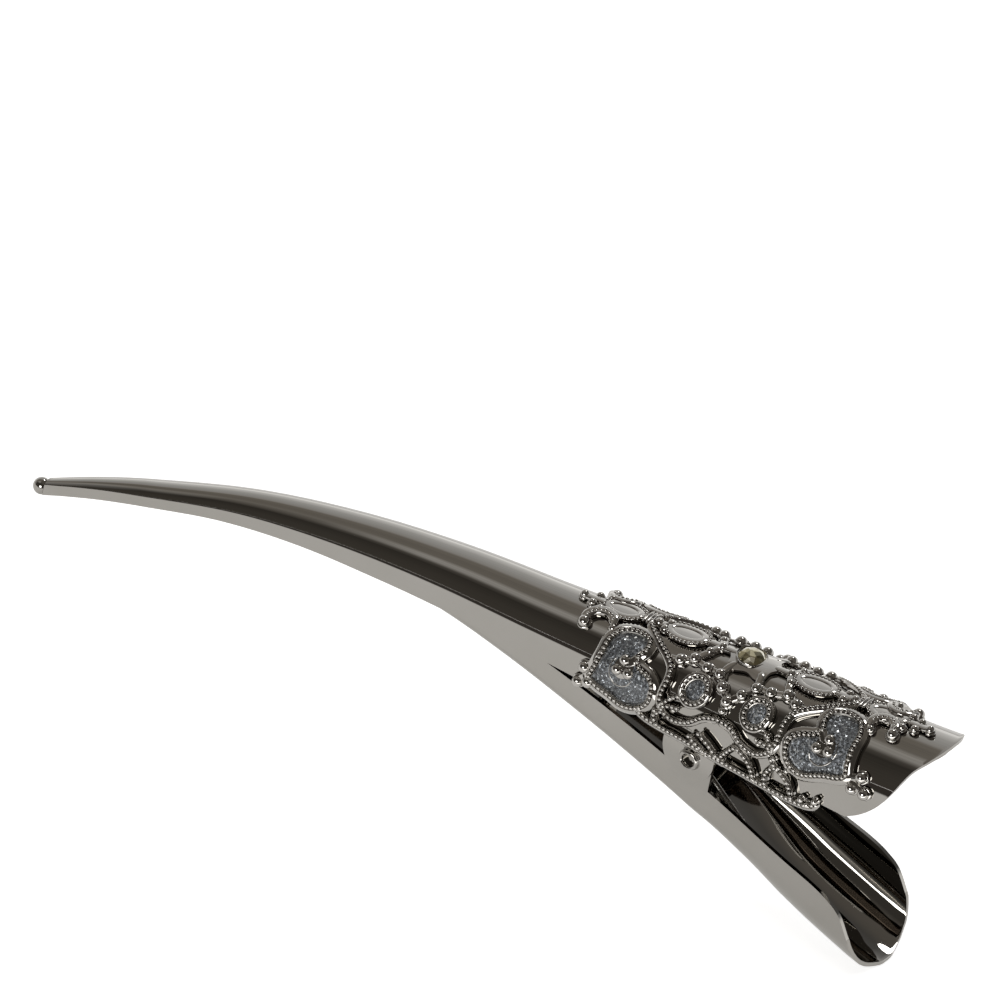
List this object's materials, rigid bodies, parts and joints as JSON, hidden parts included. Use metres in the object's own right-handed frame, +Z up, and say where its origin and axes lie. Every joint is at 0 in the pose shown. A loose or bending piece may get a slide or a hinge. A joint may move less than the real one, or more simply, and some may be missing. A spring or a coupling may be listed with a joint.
{
  "type": "hair clip",
  "caption": "Long curved beak hair clip: domed upper jaw, channel-shaped lower jaw on a sprung cross pin, and an openwork scroll ornament with enamel fills and a faceted stone.",
  "frame": {"origin": "under the middle of the clip, on the surface that it stands on", "axes": "+X along the clip from its tip to its rear, +Y across it, +Z up"},
  "size_m": [0.1334, 0.019, 0.036],
  "materials": {
    "gunmetal_sheet": "polished dark nickel plating on pressed steel sheet",
    "gunmetal_pin": "polished dark nickel plating",
    "spring_wire": "drawn spring wire",
    "cast_gunmetal": "polished dark nickel plating on a cast openwork",
    "glitter_enamel": "blue-grey enamel full of fine glitter",
    "smoky_stone": "faceted, foiled behind"
  },
  "bodies": {
    "upper_half": {"upper_jaw": "gunmetal_sheet", "pivot_pin": "gunmetal_pin", "torsion_spring": "spring_wire", "filigree_plate": "cast_gunmetal", "centre_stone": "smoky_stone", "front_left_glitter_leaf": "glitter_enamel", "front_right_glitter_leaf": "glitter_enamel", "rear_left_glitter_leaf": "glitter_enamel", "rear_right_glitter_leaf": "glitter_enamel", "front_left_glitter_dot": "glitter_enamel", "front_right_glitter_dot": "glitter_enamel", "rear_left_glitter_dot": "glitter_enamel", "rear_right_glitter_dot": "glitter_enamel"},
    "lower_half": {"lower_jaw": "gunmetal_sheet"}
  },
  "joints": [
    {"name": "jaw_hinge", "type": "hinge", "parent": "upper_half", "child": "lower_half", "pos_m": [0.03482, 0, 0.01811], "axis": [0, -1, 0], "range_deg": [0, 30], "stiffness_Nm_per_rad": 0.25, "springref_deg": -28.65, "deforming": ["torsion_spring"]}
  ]
}
